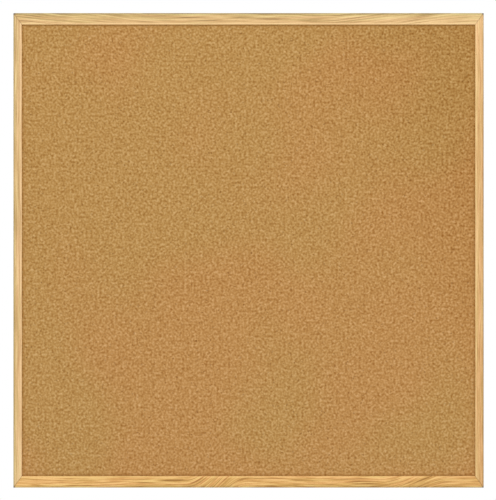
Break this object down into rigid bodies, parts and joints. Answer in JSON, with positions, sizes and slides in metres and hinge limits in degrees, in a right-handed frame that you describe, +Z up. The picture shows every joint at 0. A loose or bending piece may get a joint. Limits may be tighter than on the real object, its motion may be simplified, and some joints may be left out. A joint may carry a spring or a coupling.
{
  "type": "cork bulletin board",
  "caption": "Framed cork pinning board for a wall, with mitred oak moulding, a fibreboard backing, swinging ring hangers and wall bumpers on its back.",
  "frame": {"origin": "middle of the board, in the plane of the wall that it hangs on", "axes": "+X to the right and +Z up as seen from the front, +Y from the board into the wall; the cork faces -Y"},
  "size_m": [1.22, 0.025, 1.231],
  "materials": {
    "pale_oak": "pale oak with a clear satin lacquer",
    "warm_oak": "warmer oak with a clear satin lacquer",
    "cork": "bonded fine cork granules, matte",
    "fibreboard": "brown wood-fibre board, matte",
    "zinced_steel": "bright zinc plating",
    "rubber": "dark moulded rubber"
  },
  "bodies": {
    "board": {"top_rail": "pale_oak", "left_stile": "pale_oak", "bottom_rail": "warm_oak", "right_stile": "warm_oak", "cork_sheet": "cork", "backer_board": "fibreboard", "top_rail_point_1": "zinced_steel", "top_rail_point_2": "zinced_steel", "top_rail_point_3": "zinced_steel", "bottom_rail_point_1": "zinced_steel", "bottom_rail_point_2": "zinced_steel", "bottom_rail_point_3": "zinced_steel", "left_stile_point_1": "zinced_steel", "left_stile_point_2": "zinced_steel", "left_stile_point_3": "zinced_steel", "right_stile_point_1": "zinced_steel", "right_stile_point_2": "zinced_steel", "right_stile_point_3": "zinced_steel", "v_nail_top_left_outer": "zinced_steel", "v_nail_top_left_inner": "zinced_steel", "v_nail_top_right_outer": "zinced_steel", "v_nail_top_right_inner": "zinced_steel", "v_nail_bottom_left_outer": "zinced_steel", "v_nail_bottom_left_inner": "zinced_steel", "v_nail_bottom_right_outer": "zinced_steel", "v_nail_bottom_right_inner": "zinced_steel", "left_hanger_strap": "zinced_steel", "left_hanger_screw_upper": "zinced_steel", "left_hanger_screw_lower": "zinced_steel", "left_bumper": "rubber", "right_hanger_strap": "zinced_steel", "right_hanger_screw_upper": "zinced_steel", "right_hanger_screw_lower": "zinced_steel", "right_bumper": "rubber"},
    "left_ring": {"left_hanger_ring": "zinced_steel"},
    "right_ring": {"right_hanger_ring": "zinced_steel"}
  },
  "joints": [
    {"name": "left_ring_swing", "type": "hinge", "parent": "board", "child": "left_ring", "pos_m": [-0.602, -0.0032, 0.4955], "axis": [1, 0, 0], "range_deg": [0, 180]},
    {"name": "right_ring_swing", "type": "hinge", "parent": "board", "child": "right_ring", "pos_m": [0.602, -0.0032, 0.4955], "axis": [1, 0, 0], "range_deg": [0, 180]}
  ]
}
